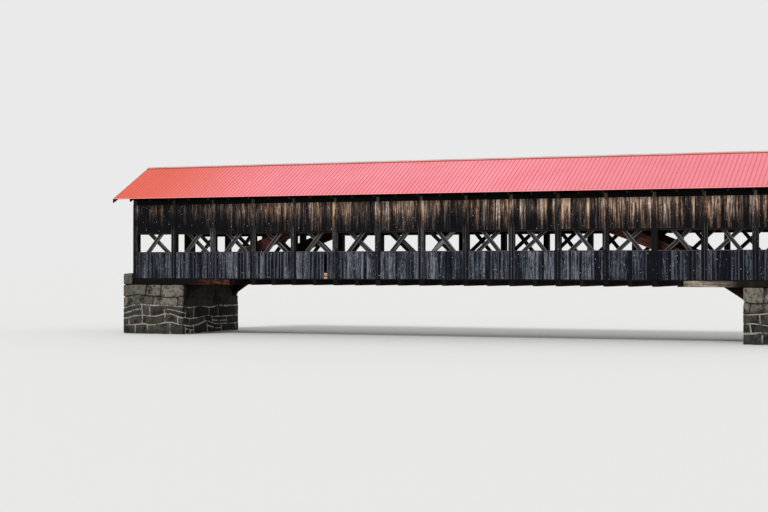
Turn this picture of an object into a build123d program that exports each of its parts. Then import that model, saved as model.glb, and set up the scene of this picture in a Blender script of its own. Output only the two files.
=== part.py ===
from build123d import *
import os
from math import asin, atan2, cos, degrees, radians, sin, sqrt, tan

# Covered timber bridge: two braced trusses with laminated arches, on two stone abutments.
# Millimetres. +X runs along the bridge, -Y is the near side, Z is up from the lowest ground.
# Pieces of the near side are drawn first, and the far side is their mirror image.

# Along the bridge
bay_length = 2438.0
bay_count = 15
post_width = 250.0
bearing_length = 3170.0
bolster_reach = 2840.0
roof_overhang = 990.0
backwall_gap = 50.0
backwall_thickness = 600.0

# Across the bridge, from the roadway outwards
roadway_width = 4800.0
guard_width = 115.0
arch_gap = 100.0
arch_width = 250.0
inner_leaf_thickness = 150.0
brace_thickness = 150.0
outer_leaf_thickness = 100.0
post_setback = 100.0
board_thickness = 25.0
abutment_margin = 100.0

# Floor and chords, from the abutment seat upwards
seat_height = 2750.0
floor_beam_depth = 300.0
floor_beam_width = 250.0
middle_beam_width = 200.0
floor_beam_inset = 15.0
chord_depth = 350.0
stringer_depth = 250.0
stringer_width = 150.0
stringer_count = 7
stringer_edge = 25.0
deck_thickness = 90.0
guard_height = 150.0
truss_height = 4370.0

# Braces
main_angle = 50.5
counter_angle = 42.5
brace_width = 190.0
toe_depth = 60.0
crossing_drop = 85.0

# Arches
arch_depth = 570.0
arch_foot_drop = 640.0
arch_tie_gap = 30.0
arch_embedment = 200.0
skewback_clearance = 10.0
skewback_headroom = 400.0

# Tie beams and what braces them
tie_width = 200.0
tie_depth = 200.0
lateral_width = 120.0
lateral_thickness = 100.0
lateral_inset = 500.0
knee_run = 840.0
knee_width = 100.0
knee_depth = 150.0

# Roof
roof_pitch = 26.8
eave_reach = 635.0
plate_width = 200.0
plate_depth = 100.0
plate_setback = 50.0
birdsmouth_depth = 50.0
rafter_width = 100.0
rafter_depth = 150.0
rafters_per_bay = 2
rafter_setback = 50.0
roof_board_thickness = 25.0
roof_board_setback = 20.0
sheet_thickness = 3.0
rib_pitch = 228.6
rib_height = 19.0
rib_base = 45.0
ridge_cap_reach = 150.0
ridge_cap_thickness = 5.0
rake_board_depth = 200.0

# Siding and windows: the sill's height is from the lower edge of the boards
chord_reveal = 50.0
siding_drop = 250.0
sill_height = 1460.0
window_height = 1060.0
sill_thickness = 40.0
lower_girt_depth = 150.0
upper_girt_depth = 200.0
girt_show = 100.0
cover_width = 320.0
missing_board_x = -6610.0
missing_board_width = 110.0
portal_corner = 700.0

# Places worked out from the sizes above
truss_half = bay_length * bay_count / 2
truss_end = truss_half + post_width / 2
roof_end = truss_end + roof_overhang
abutment_face = truss_end - bearing_length
backwall_face = truss_end + backwall_gap
backwall_back = backwall_face + backwall_thickness
bolster_tip = abutment_face - bolster_reach

guard_inner = roadway_width / 2
guard_outer = guard_inner + guard_width
arch_inner = guard_outer + arch_gap
arch_outer = arch_inner + arch_width
inner_leaf_outer = arch_outer + inner_leaf_thickness
outer_leaf_inner = inner_leaf_outer + brace_thickness
truss_outer = outer_leaf_inner + outer_leaf_thickness
post_inner = arch_outer + post_setback
siding_outer = truss_outer + board_thickness
cover_outer = siding_outer + board_thickness
abutment_side = truss_outer + abutment_margin
eave = truss_outer + eave_reach

chord_bottom = seat_height + floor_beam_depth
chord_top = chord_bottom + chord_depth
deck_bottom = chord_bottom + stringer_depth
deck_top = deck_bottom + deck_thickness
truss_top = chord_bottom + truss_height
upper_chord_bottom = truss_top - chord_depth
tie_top = truss_top + tie_depth
siding_bottom = chord_bottom + chord_reveal
siding_top = truss_top - siding_drop
sill_top = siding_bottom + sill_height
lower_siding_top = sill_top - sill_thickness
window_head = sill_top + window_height
brace_middle = (chord_bottom + truss_top) / 2 - crossing_drop

slope = tan(radians(roof_pitch))
slope_cosine = cos(radians(roof_pitch))
plate_outer = truss_outer - plate_setback
plate_inner = plate_outer - plate_width
plate_top = tie_top + plate_depth
rafter_peak = plate_top - birdsmouth_depth + plate_outer * slope
board_peak = rafter_peak + rafter_depth / slope_cosine
sheet_peak = board_peak + roof_board_thickness / slope_cosine
cap_peak = sheet_peak + (sheet_thickness + rib_height) / slope_cosine

arch_crown_top = truss_top - arch_tie_gap
arch_crown = arch_crown_top - arch_depth
arch_rise = arch_crown - (seat_height - arch_foot_drop)
arch_radius = (abutment_face**2 + arch_rise**2) / (2 * arch_rise)
arch_centre_z = arch_crown - arch_radius
arch_half_angle = asin((abutment_face + arch_embedment) / (arch_radius + arch_depth / 2))

post_places = [bay_length * k - truss_half for k in range(bay_count + 1)]
bay_middles = [x + bay_length / 2 for x in post_places[:-1]]
turning_post = post_places[bay_count // 2]


def block(x0, x1, y0, y1, z0, z1):
    """A squared timber or slab between two corners."""
    size = Box(x1 - x0, y1 - y0, z1 - z0)
    return Pos((x0 + x1) / 2, (y0 + y1) / 2, (z0 + z1) / 2) * size


def near_block(x0, x1, inner, outer, z0, z1):
    """A block on the near side, placed by its distances from the centre line."""
    return block(x0, x1, -outer, -inner, z0, z1)


def across(points, x0, x1):
    """A prism along X whose section is given as (y, z) points."""
    face = make_face(Polyline([(0, y, z) for y, z in points], close=True))
    return Pos(x0, 0, 0) * extrude(face, x1 - x0, dir=(1, 0, 0))


def mirrored(solids):
    return [mirror(solid, about=Plane.XZ) for solid in solids]


def cut(pieces, tools):
    """Each piece less every tool that meets its box, as separate solids."""
    left = []
    for piece in pieces:
        box = piece.bounding_box()
        near = [tool for tool in tools if boxes_meet(box, tool.bounding_box())]
        rest = piece - near if near else piece
        left += rest.solids()
    return left


def boxes_meet(a, b):
    along = a.min.X < b.max.X and b.min.X < a.max.X
    over = a.min.Y < b.max.Y and b.min.Y < a.max.Y
    up = a.min.Z < b.max.Z and b.min.Z < a.max.Z
    return along and over and up


def save(name, pieces):
    solids = [solid for piece in pieces for solid in piece.solids()]
    export_step(Compound(solids), f"parts/{name}.step")


def save_both_sides(name, pieces):
    save(f"{name}_near", pieces)
    save(f"{name}_far", mirrored(pieces))


def chord(bottom):
    """The two leaves of one chord, with room between them for posts and main braces."""
    top = bottom + chord_depth
    inner = near_block(-truss_end, truss_end, arch_outer, inner_leaf_outer, bottom, top)
    outer = near_block(-truss_end, truss_end, outer_leaf_inner, truss_outer, bottom, top)
    return [inner, outer]


def brace_bar(x, angle, inner, outer, length):
    """A bar through the middle of the bay at x, at the angle from level."""
    bar = Box(length, outer - inner, brace_width)
    middle = Pos(x, -(inner + outer) / 2, brace_middle)
    return middle * Rot(0, -angle, 0) * bar


def main_brace(x, leans_right):
    """A main brace: cut plumb against the post face, with a squared toe let into the post."""
    angle = main_angle if leans_right else -main_angle
    layer = (inner_leaf_outer, outer_leaf_inner)
    clear_half = (bay_length - post_width) / 2
    lean = radians(main_angle)
    toe_half = (clear_half + toe_depth - brace_width / 2 * sin(lean)) / cos(lean)
    toe_bar = brace_bar(x, angle, *layer, 2 * toe_half)
    long_bar = brace_bar(x, angle, *layer, 2 * (toe_half + brace_width / tan(lean)) + brace_width)
    between_posts = near_block(x - clear_half, x + clear_half, *layer, chord_bottom, truss_top)
    return (long_bar & between_posts) + (toe_bar & near_block(
        x - bay_length, x + bay_length, *layer, chord_bottom, truss_top))


def counter_brace(x, leans_right):
    """A counter brace: it runs from chord to chord past the posts, and is cut level at both ends.

    Where the lean changes at the middle of the bridge, it stops at that post's centre line.
    """
    angle = counter_angle if leans_right else -counter_angle
    layer = (arch_outer, inner_leaf_outer)
    low_x, high_x = (-truss_end, turning_post) if x < turning_post else (turning_post, truss_end)
    bar = brace_bar(x, angle, *layer, 2 * truss_height / sin(radians(counter_angle)))
    return bar & near_block(low_x, high_x, *layer, chord_top, upper_chord_bottom)


def braces():
    """Main braces climb towards the turning post, and counter braces lean the other way."""
    mains = [main_brace(x, x < turning_post) for x in bay_middles]
    counters = [counter_brace(x, x > turning_post) for x in bay_middles]
    return mains, counters


def posts(joined):
    """Posts from the foot of the lower chord to the head of the upper, let in for what is joined."""
    half = post_width / 2
    blanks = [near_block(x - half, x + half, post_inner, truss_outer, chord_bottom, truss_top)
              for x in post_places]
    return cut(blanks, joined)


def arch_ring(inner_radius, outer_radius, inner, outer):
    """A ring sector standing in the XZ plane, its crown over the middle of the bridge."""
    spread = degrees(arch_half_angle)
    low = CenterArc((0, 0), inner_radius, 90 - spread, 2 * spread)
    high = CenterArc((0, 0), outer_radius, 90 - spread, 2 * spread)
    ends = [Line(low @ 0, high @ 0), Line(low @ 1, high @ 1)]
    plane = Plane(origin=(0, -inner, arch_centre_z), x_dir=(1, 0, 0), z_dir=(0, -1, 0))
    return extrude(plane * make_face([low, high] + ends), outer - inner)


def arch_height(radius, x):
    return arch_centre_z + sqrt(radius**2 - x**2)


def abutment(side):
    """Masonry with a seat for the trusses, a wall behind them and a pocket for each arch foot."""
    low_x, high_x = sorted((side * abutment_face, side * backwall_back))
    wall_low, wall_high = sorted((side * backwall_face, side * backwall_back))
    base = block(low_x, high_x, -abutment_side, abutment_side, 0, seat_height)
    wall = block(wall_low, wall_high, -abutment_side, abutment_side, seat_height, deck_top)
    pocket = arch_ring(arch_radius - skewback_clearance, arch_radius + arch_depth + skewback_headroom,
                       arch_inner - skewback_clearance, arch_outer + skewback_clearance)
    return base + wall - [pocket, mirror(pocket, about=Plane.XZ)]


def floor_beams():
    """Beams under the chords at the posts and half way between them.

    Over the abutments and the bolsters they stop between the bolsters, and none is where the
    arches pass down to their feet.
    """
    beams = []
    arch_low = sqrt(arch_radius**2 - (chord_bottom - arch_centre_z) ** 2)
    arch_high = sqrt((arch_radius + arch_depth) ** 2 - (seat_height - arch_centre_z) ** 2)
    for j in range(2 * bay_count + 1):
        x = j * bay_length / 2 - truss_half
        half = (middle_beam_width if j % 2 else floor_beam_width) / 2
        if abs(x) + half > arch_low and abs(x) - half < arch_high:
            continue
        reach = post_inner if abs(x) + half > bolster_tip else truss_outer - floor_beam_inset
        beams.append(block(x - half, x + half, -reach, reach, seat_height, chord_bottom))
    return beams


def stringers():
    edge = guard_outer - stringer_edge - stringer_width / 2
    lines = [edge * (2 * j / (stringer_count - 1) - 1) for j in range(stringer_count)]
    half = stringer_width / 2
    return [block(-truss_end, truss_end, y - half, y + half, chord_bottom, deck_bottom)
            for y in lines]


def bolsters(side):
    low_x, high_x = sorted((side * bolster_tip, side * truss_end))
    near = near_block(low_x, high_x, post_inner, truss_outer, seat_height, chord_bottom)
    return [near] + mirrored([near])


def tie_beams():
    half = tie_width / 2
    return [block(x - half, x + half, -truss_outer, truss_outer, truss_top, tie_top)
            for x in post_places]


def upper_lateral_braces():
    """A halved cross of level braces in each bay, cut against the sides of the tie beams."""
    clear = bay_length - tie_width
    reach = 2 * (arch_outer - lateral_inset)
    turn = degrees(atan2(reach, clear))
    bar = Box(2 * reach, lateral_width, lateral_thickness)
    crosses = []
    for x in bay_middles:
        middle = Pos(x, 0, truss_top + lateral_thickness / 2)
        cross = middle * Rot(0, 0, turn) * bar + middle * Rot(0, 0, -turn) * bar
        bay = block(x - clear / 2, x + clear / 2, -arch_outer, arch_outer, truss_top, tie_top)
        crosses.append(cross & bay)
    return crosses


def knee_braces(joined):
    """Diagonals from the posts to the tie beams, where they pass over the arch."""
    foot = truss_top - knee_run
    half_height = knee_depth * sqrt(2) / 2
    section = [(-post_inner, foot - half_height), (-post_inner, foot + half_height),
               (-post_inner + knee_run - half_height, truss_top),
               (-post_inner + knee_run + half_height, truss_top)]
    knees = []
    for x in post_places:
        over_arch = foot + post_setback - half_height > arch_height(arch_radius + arch_depth, x)
        if over_arch:
            knees.append(across(section, x - knee_width / 2, x + knee_width / 2))
    knees = cut(knees, joined)
    return knees + mirrored(knees)


def sloped(peak, thickness, reach, x0, x1):
    """A layer of the near roof slope, cut plumb at the ridge and at the eave."""
    rise = thickness / slope_cosine
    drop = reach * slope
    points = [(0, peak), (0, peak + rise), (-reach, peak + rise - drop), (-reach, peak - drop)]
    return across(points, x0, x1)


def rafter_places():
    """Rafters at equal steps over the trusses, and one behind each rake board."""
    step = bay_length / rafters_per_bay
    end = roof_end - board_thickness - rafter_width / 2
    inside = [j * step - truss_half for j in range(rafters_per_bay * bay_count + 1)]
    return [-end] + inside + [end]


def rafters(carriers):
    half = rafter_width / 2
    blanks = [sloped(rafter_peak, rafter_depth, eave - rafter_setback, x - half, x + half)
              for x in rafter_places()]
    return cut(blanks, carriers)


def roofing():
    """Sheet metal with ribs from the ridge to the eave, as one folded section."""
    rib_count = int(2 * roof_end / rib_pitch - rib_base / rib_pitch)
    top = sheet_thickness + rib_height
    outline = [(-roof_end, 0), (-roof_end, sheet_thickness)]
    for j in range(rib_count):
        x = (j - (rib_count - 1) / 2) * rib_pitch
        outline += [(x - rib_base / 2, sheet_thickness), (x, top),
                    (x + rib_base / 2, sheet_thickness)]
    outline += [(roof_end, sheet_thickness), (roof_end, 0)]
    up_slope = (0, slope_cosine, sin(radians(roof_pitch)))
    section = Plane(origin=(0, 0, sheet_peak), x_dir=(-1, 0, 0), z_dir=up_slope)
    face = section * make_face(Polyline(outline, close=True))
    length = eave / slope_cosine
    sheet = extrude(face, length, dir=[-part for part in up_slope])
    sheet += extrude(face, top, dir=up_slope)
    return sheet & block(-roof_end, roof_end, -eave, 0, 0, 2 * cap_peak)


def ridge_cap():
    near = sloped(cap_peak, ridge_cap_thickness, ridge_cap_reach, -roof_end, roof_end)
    return near + mirror(near, about=Plane.XZ)


def rake_boards():
    """Boards that close the roof's ends, under the roof boards."""
    peak = board_peak - rake_board_depth / slope_cosine
    reach = eave - roof_board_setback
    left = sloped(peak, rake_board_depth, reach, -roof_end, -roof_end + board_thickness)
    return [left, mirror(left, about=Plane.YZ)]


def lower_siding():
    """Boards under the windows, as one slab."""
    return near_block(-truss_end, truss_end, truss_outer, siding_outer, siding_bottom,
                      lower_siding_top)


def missing_board():
    """The place of the one board that is gone from the near side."""
    half = missing_board_width / 2
    return near_block(missing_board_x - half, missing_board_x + half, truss_outer, siding_outer,
                      siding_bottom, lower_siding_top)


def window_girts():
    """Level timbers between the posts, under and over each window."""
    half = post_width / 2
    low = (lower_siding_top - lower_girt_depth, lower_siding_top)
    high = (window_head - girt_show, window_head - girt_show + upper_girt_depth)
    return [near_block(a + half, b - half, outer_leaf_inner, truss_outer, z0, z1)
            for a, b in zip(post_places[:-1], post_places[1:]) for z0, z1 in (low, high)]


def sill_planks():
    half = post_width / 2
    return [near_block(a + half, b - half, outer_leaf_inner, siding_outer, lower_siding_top,
                       sill_top) for a, b in zip(post_places[:-1], post_places[1:])]


def cover_boards():
    """Boards over the siding in front of each post, kept within the corners of the bridge."""
    limit = truss_end + board_thickness - cover_width / 2
    places = [max(-limit, min(limit, x)) for x in post_places]
    half = cover_width / 2
    return [near_block(x - half, x + half, siding_outer, cover_outer, siding_bottom, siding_top)
            for x in places]


def portal_jambs(side):
    """Boards beside the roadway, with sloped upper corners like the knee braces behind them."""
    low_x, high_x = sorted((side * truss_end, side * (truss_end + board_thickness)))
    section = [(-siding_outer, siding_bottom), (-siding_outer, upper_chord_bottom),
               (-guard_outer + portal_corner, upper_chord_bottom),
               (-guard_outer, upper_chord_bottom - portal_corner), (-guard_outer, siding_bottom)]
    near = across(section, low_x, high_x)
    return [near] + mirrored([near])


def portal_gable(side, carriers):
    """Boards over the roadway up to the roof boards, notched round the plates."""
    low_x, high_x = sorted((side * truss_end, side * (truss_end + board_thickness)))
    shoulder = board_peak - siding_outer * slope
    section = [(-siding_outer, upper_chord_bottom), (-siding_outer, shoulder), (0, board_peak),
               (siding_outer, shoulder), (siding_outer, upper_chord_bottom)]
    return cut([across(section, low_x, high_x)], carriers)


def wall_plates():
    """Plates on the ends of the tie beams, carried out to the rake boards."""
    end = roof_end - board_thickness
    near = near_block(-end, end, plate_inner, plate_outer, tie_top, plate_top)
    return [near] + mirrored([near])


def build():
    os.makedirs("parts", exist_ok=True)

    lower_chord = chord(chord_bottom)
    upper_chord = chord(upper_chord_bottom)
    mains, counters = braces()
    ties = tie_beams()
    plates = wall_plates()

    for side, name in ((-1, "left"), (1, "right")):
        save(f"abutment_{name}", [abutment(side)])
        save(f"bolsters_{name}", bolsters(side))
        save(f"portal_jambs_{name}", portal_jambs(side))
        save(f"portal_gable_{name}", portal_gable(side, plates))

    save_both_sides("lower_chord", lower_chord)
    save_both_sides("upper_chord", upper_chord)
    save_both_sides("main_braces", mains)
    save_both_sides("counter_braces", counters)
    save_both_sides("posts", posts(lower_chord + upper_chord + mains + counters))
    save_both_sides("arch", [arch_ring(arch_radius, arch_radius + arch_depth,
                                       arch_inner, arch_outer)])

    save("floor_beams", floor_beams())
    save("stringers", stringers())
    save("deck", [block(-backwall_face, backwall_face, -guard_outer, guard_outer,
                        deck_bottom, deck_top)])
    guard = near_block(-truss_end, truss_end, guard_inner, guard_outer, deck_top,
                       deck_top + guard_height)
    save("wheel_guards", [guard] + mirrored([guard]))

    save("tie_beams", ties)
    save("upper_lateral_braces", upper_lateral_braces())
    save("knee_braces", knee_braces(counters))
    save("wall_plates", plates)
    save_both_sides("rafters", rafters(plates + ties))
    save_both_sides("roof_boards", [sloped(board_peak, roof_board_thickness,
                                           eave - roof_board_setback, -roof_end, roof_end)])
    save_both_sides("roofing", [roofing()])
    save("ridge_cap", [ridge_cap()])
    save_both_sides("rake_boards", rake_boards())

    boards = lower_siding()
    save("lower_siding_near", [boards - missing_board()])
    save("lower_siding_far", mirrored([boards]))
    save_both_sides("upper_siding", [near_block(-truss_end, truss_end, truss_outer, siding_outer,
                                                window_head, siding_top)])
    girts = window_girts()
    save("window_girts", girts + mirrored(girts))
    sills = sill_planks()
    save("sill_planks", sills + mirrored(sills))
    save_both_sides("cover_boards", cover_boards())


build()
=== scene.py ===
import math
import random
from itertools import pairwise

import bmesh
import bpy
from mathutils import Matrix, Vector, noise


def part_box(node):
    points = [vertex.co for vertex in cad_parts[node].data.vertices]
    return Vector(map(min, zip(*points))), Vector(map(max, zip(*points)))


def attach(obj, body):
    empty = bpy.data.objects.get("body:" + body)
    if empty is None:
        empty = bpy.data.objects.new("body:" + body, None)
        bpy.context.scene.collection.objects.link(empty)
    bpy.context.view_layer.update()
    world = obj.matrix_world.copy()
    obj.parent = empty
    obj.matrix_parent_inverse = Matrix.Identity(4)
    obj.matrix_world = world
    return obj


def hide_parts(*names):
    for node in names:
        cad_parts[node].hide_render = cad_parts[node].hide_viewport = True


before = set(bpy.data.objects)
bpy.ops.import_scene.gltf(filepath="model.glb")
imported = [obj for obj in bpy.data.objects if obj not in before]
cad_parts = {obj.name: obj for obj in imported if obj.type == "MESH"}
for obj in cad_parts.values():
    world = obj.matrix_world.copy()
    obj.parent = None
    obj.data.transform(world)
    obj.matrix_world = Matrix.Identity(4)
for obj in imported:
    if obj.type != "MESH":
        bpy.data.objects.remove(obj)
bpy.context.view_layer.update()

# Sizes of the dressed bridge, in metres and radians
BAYS = 15
POST_WIDTH = 0.25
BOARD_WIDTH = 0.195
BOARD_GAP = 0.006
DECK_PLANK_WIDTH = 0.22
ROOF_BOARD_WIDTH = 0.21
ROOF_BOARD_LENGTH = 4.9
LAID_GAP = 0.008
BOARD_EDGE = 0.003
TIMBER_EDGE = 0.007
MISSING_BOARD_X = -6.66
MISSING_BOARD_WIDTH = 0.18
HEAD_BLOCK_WIDTH = 0.19
HEAD_BLOCK_HEIGHT = 0.24
PORTAL_CORNER = 0.70
ARCH_DEPTH = 0.57
ARCH_LAYERS = 11
ARCH_PLANK = 5.2
ARCH_SHY = 0.007
RIB_PITCH = 0.2286
RIB_SIDE = 0.024
SHEET_WIDTH = 4 * RIB_PITCH
SHEET_THICKNESS = 0.003
RIDGE_STRIP = 1.52
ROOF_PITCH = math.radians(26.8)
ROOF_BOARD_THICKNESS = 0.025
COURSES = (0.0, 0.52, 0.94, 1.50, 2.08, 2.75)
MORTARED_COURSES = 3
STONE_DEPTH = 0.35
STONE_JOINT = 0.040
ROUGH_STONE = {"curve": 0.085, "dents": 0.022, "joint": 0.014}
POCKET_SLACK = 0.03
MORTAR_INSET = 0.034
CORE_INSET = 0.085
BOLT_STEP = 0.62
SCREW_STEP = 0.61

# Heads of the nails in the siding, the screws in the roof and the bolts in the arches
HEAD_SIZES = ("Sides", "Radius", "Height", "Washer Radius", "Washer Height")
NAIL = (5, 0.006, 0.002, 0.006, 0.0004)
SCREW = (6, 0.007, 0.007, 0.012, 0.003)
BOLT = (6, 0.022, 0.028, 0.042, 0.008)

# Stones of each kind of course: their length along the bridge and across it, and its spread
MORTARED_STONES = (0.95, 1.35, 0.45)
ROUGH_STONES = (1.25, 1.9, 0.3)

# How far the joints wander along each axis, in long waves and in short ones
LONG_WAVES = (0.11, 0.11, 0.22)
SHORT_WAVES = (0.05, 0.05, 0.06)

# Where the abutments turn from open to sheltered: their sides, and their faces to the river. Under
# the bridge the stone takes painted shade and the river faces' pointing painted light.
SHELTERED_Y = (3.15, 3.32)
SHELTERED_X = (15.45, 15.7)

# Plain sawn wood: the dark, the light and the worn colour
SAWN_WOOD = {
    "brace_timber": ((0.012, 0.012, 0.013), (0.070, 0.068, 0.071), (0.21, 0.205, 0.205)),
    "frame_timber": ((0.006, 0.005, 0.004), (0.030, 0.024, 0.020), (0.10, 0.085, 0.07)),
    "roof_timber": ((0.005, 0.004, 0.003), (0.024, 0.018, 0.014), (0.05, 0.04, 0.03)),
    # Floor timbers nearly black: painted shade under the deck.
    "floor_timber": ((0.003, 0.002, 0.002), (0.020, 0.014, 0.011), (0.08, 0.06, 0.045)),
    "deck_planks": ((0.07, 0.058, 0.046), (0.21, 0.18, 0.145), (0.30, 0.27, 0.23)),
    "sill_planks": ((0.045, 0.045, 0.046), (0.15, 0.15, 0.15), (0.32, 0.32, 0.31)),
    "portal_boards": ((0.018, 0.016, 0.016), (0.11, 0.095, 0.082), (0.2, 0.18, 0.16)),
}
# Bolster woods: the right one's much paler colours are partly its own wood and partly painted
# sunlight.
BOLSTER_WOOD = {
    "left": ((0.012, 0.004, 0.0025), (0.078, 0.028, 0.016), (0.27, 0.14, 0.08)),
    "right": ((0.13, 0.10, 0.075), (0.46, 0.39, 0.31), (0.66, 0.60, 0.51)),
}
NEW_WOOD = ((0.36, 0.18, 0.11), (0.70, 0.46, 0.34), (0.075, 0.028, 0.015))

# The timbers of each side that keep their CAD shape, and their slots
SIDE_TIMBERS = {
    "main_braces": "brace_timber", "counter_braces": "brace_timber", "posts": "frame_timber",
    "lower_chord": "frame_timber", "upper_chord": "frame_timber", "rafters": "roof_timber",
    "rake_boards": "portal_boards",
}

# The other timbers that keep their CAD shape: their slot, the first one's seed, and the nodes
SHARED_TIMBERS = (
    ("frame_timber", 17, "tie_beams upper_lateral_braces knee_braces wall_plates window_girts"),
    ("floor_timber", 27, "floor_beams stringers"),
    ("deck_planks", 31, "wheel_guards"),
    ("sill_planks", 33, "sill_planks"),
    ("bolster_timber_left", 35, "bolsters_left"),
    ("bolster_timber_right", 36, "bolsters_right"),
)

# The camera that took the photograph, worked out from the posts, the sills, the eave and the ridge
CAMERA_PLACE = (27.39, -79.45, 3.75)
CAMERA_TURN = 21.95
CAMERA_RISE = 0.385
LENS = 73.5

# The studio
FLOOR_REACH = 900.0
FLOOR_COLOUR = (0.80, 0.80, 0.79)
BACKGROUND = (0.82, 0.823, 0.82)
SKY_STRENGTH = 0.62
SUN_STRENGTH = 1.9
SUN_SPREAD = 14
SUN_TURN = (50, 0, -22)

# Every finished material by its name
FINISHES = {}


# Node trees

class Graph:
    """Adds nodes to a tree, and wires or sets their inputs by name."""

    def __init__(self, tree):
        self.tree = tree

    def add(self, kind, inputs=None, **settings):
        node = self.tree.nodes.new(kind)
        for name, value in settings.items():
            setattr(node, name, value)
        for name, value in (inputs or {}).items():
            self.feed(pick(node.inputs, name), value)
        return node

    def made(self, kind, inputs=None, **settings):
        """The first output of a new node."""
        return self.add(kind, inputs, **settings).outputs[0]

    def fill(self, kind, *values, **settings):
        """The first output of a new node whose inputs take the values in order."""
        node = self.add(kind, **settings)
        for target, value in zip(node.inputs, values):
            self.feed(target, value)
        return node.outputs[0]

    def feed(self, target, value):
        """Links a socket to the target, or sets its value. Colours are opaque."""
        if isinstance(value, bpy.types.NodeSocket):
            self.tree.links.new(value, target)
        elif target.type == "RGBA":
            target.default_value = (*value, 1)
        else:
            target.default_value = value

    def wire(self, sockets, **values):
        """Feeds sockets by name, with _ for the blank in a socket's name."""
        for name, value in values.items():
            self.feed(pick(sockets, name.replace("_", " ")), value)

    def group(self, name, **values):
        """The outputs of a shared group with these inputs."""
        node = self.add("ShaderNodeGroup", node_tree=bpy.data.node_groups[name])
        self.wire(node.inputs, **values)
        return node.outputs

    def math(self, operation, *values, kind="ShaderNodeMath"):
        return self.fill(kind, *values, operation=operation)

    def plus(self, value, *others):
        for other in others:
            value = self.math("ADD", value, other)
        return value

    def times(self, value, *others):
        for other in others:
            value = self.math("MULTIPLY", value, other)
        return value

    def minus(self, value, less):
        return self.math("SUBTRACT", value, less)

    def away(self, value, middle=None):
        """How far a value lies from a middle, or else from 0."""
        return self.math("ABSOLUTE", value if middle is None else self.minus(value, middle))

    def redraw(self, tone, factor):
        """Another even draw from 0 to 1, made from a board's tone."""
        return self.math("FRACT", self.times(tone, factor))

    def weigh(self, level, *terms):
        """The level plus each term: a value, less its middle, times its share."""
        for value, middle, share in terms:
            level = self.plus(level, self.times(self.minus(value, middle), share))
        return level

    def fit(self, value, low, high, to_low=0.0, to_high=1.0):
        """value's range low to high, mapped to to_low to to_high and clamped."""
        return self.fill("ShaderNodeMapRange", value, low, high, to_low, to_high,
                         interpolation_type="SMOOTHSTEP")

    def combine(self, x, y, z=0.0):
        return self.fill("ShaderNodeCombineXYZ", x, y, z)

    def separate(self, vector):
        return self.add("ShaderNodeSeparateXYZ", {"Vector": vector}).outputs

    def where(self):
        """The place on the bridge."""
        return self.add("ShaderNodeTexCoord").outputs["Object"]

    def mix(self, factor, first, second):
        node = self.add("ShaderNodeMix", data_type="RGBA")
        for index, value in ((0, factor), (6, first), (7, second)):
            self.feed(node.inputs[index], value)
        return node.outputs[2]

    def coat(self, colour, *coats):
        """The colour under several coats, each with its own colour last.

        A coat begins with how much of it shows, or else with a value, the range of it over
        which the coat comes up, and the most that shows of the coat.
        """
        for value, *span, coat in coats:
            share = self.fit(value, *span[:2], 0.0, *span[2:]) if span else value
            colour = self.mix(share, colour, coat)
        return colour

    def ramp(self, factor, *stops):
        """A colour that passes through the stops, each a place from 0 to 1 and a colour."""
        node = self.add("ShaderNodeValToRGB", {"Fac": factor})
        elements = node.color_ramp.elements
        while len(elements) < len(stops):
            elements.new(1.0)
        for element, (place, colour) in zip(elements, stops):
            element.position = place
            element.color = (*colour, 1)
        return node.outputs[0]

    def saturate(self, colour, share):
        return self.made("ShaderNodeHueSaturation", {"Color": colour, "Saturation": share})

    def noise(self, vector, scale, detail=3.0, roughness=0.55, distortion=0.0):
        return self.made("ShaderNodeTexNoise", {
            "Vector": vector, "Scale": scale, "Detail": detail, "Roughness": roughness,
            "Distortion": distortion})

    def bump(self, height, strength, distance):
        return self.made("ShaderNodeBump", {"Height": height, "Strength": strength,
                                            "Distance": distance})

    def random(self, low, high, identity, seed):
        node = self.add("FunctionNodeRandomValue", data_type="FLOAT")
        self.wire(node.inputs, Min=low, Max=high, ID=identity, Seed=seed)
        return pick(node.outputs, "Value")

    def keep(self, geometry, name, value, kind="FLOAT_VECTOR"):
        """The geometry with a value stored on its points under that name."""
        node = self.add("GeometryNodeStoreNamedAttribute", {"Geometry": geometry, "Name": name},
                        data_type=kind, domain="POINT")
        self.wire(node.inputs, Value=value)
        return node.outputs[0]

    def kept(self, name):
        return self.made("GeometryNodeInputNamedAttribute", {"Name": name},
                         data_type="FLOAT_VECTOR")


def pick(sockets, name):
    """The socket of that name that the node uses now: a plain number where there are several."""
    named = [socket for socket in sockets if socket.name == name]
    numbers = [socket for socket in named if socket.type == "VALUE"]
    return numbers[0] if len(named) > 1 and numbers else named[0]


def new_group(name, family, inputs, outputs):
    """A node group whose inputs are given by their first value or else by their kind."""
    tree = bpy.data.node_groups.new(name, family)
    for label, value in inputs.items():
        kind = value if isinstance(value, str) else type(value).__name__.capitalize()
        socket = tree.interface.new_socket(label, in_out="INPUT",
                                           socket_type=f"NodeSocket{kind}")
        if kind != value:
            socket.default_value = value
    for label, kind in outputs.items():
        tree.interface.new_socket(label, in_out="OUTPUT", socket_type=f"NodeSocket{kind}")
    given = tree.nodes.new("NodeGroupInput").outputs
    result = tree.nodes.new("NodeGroupOutput").inputs
    return Graph(tree), given, result


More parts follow.
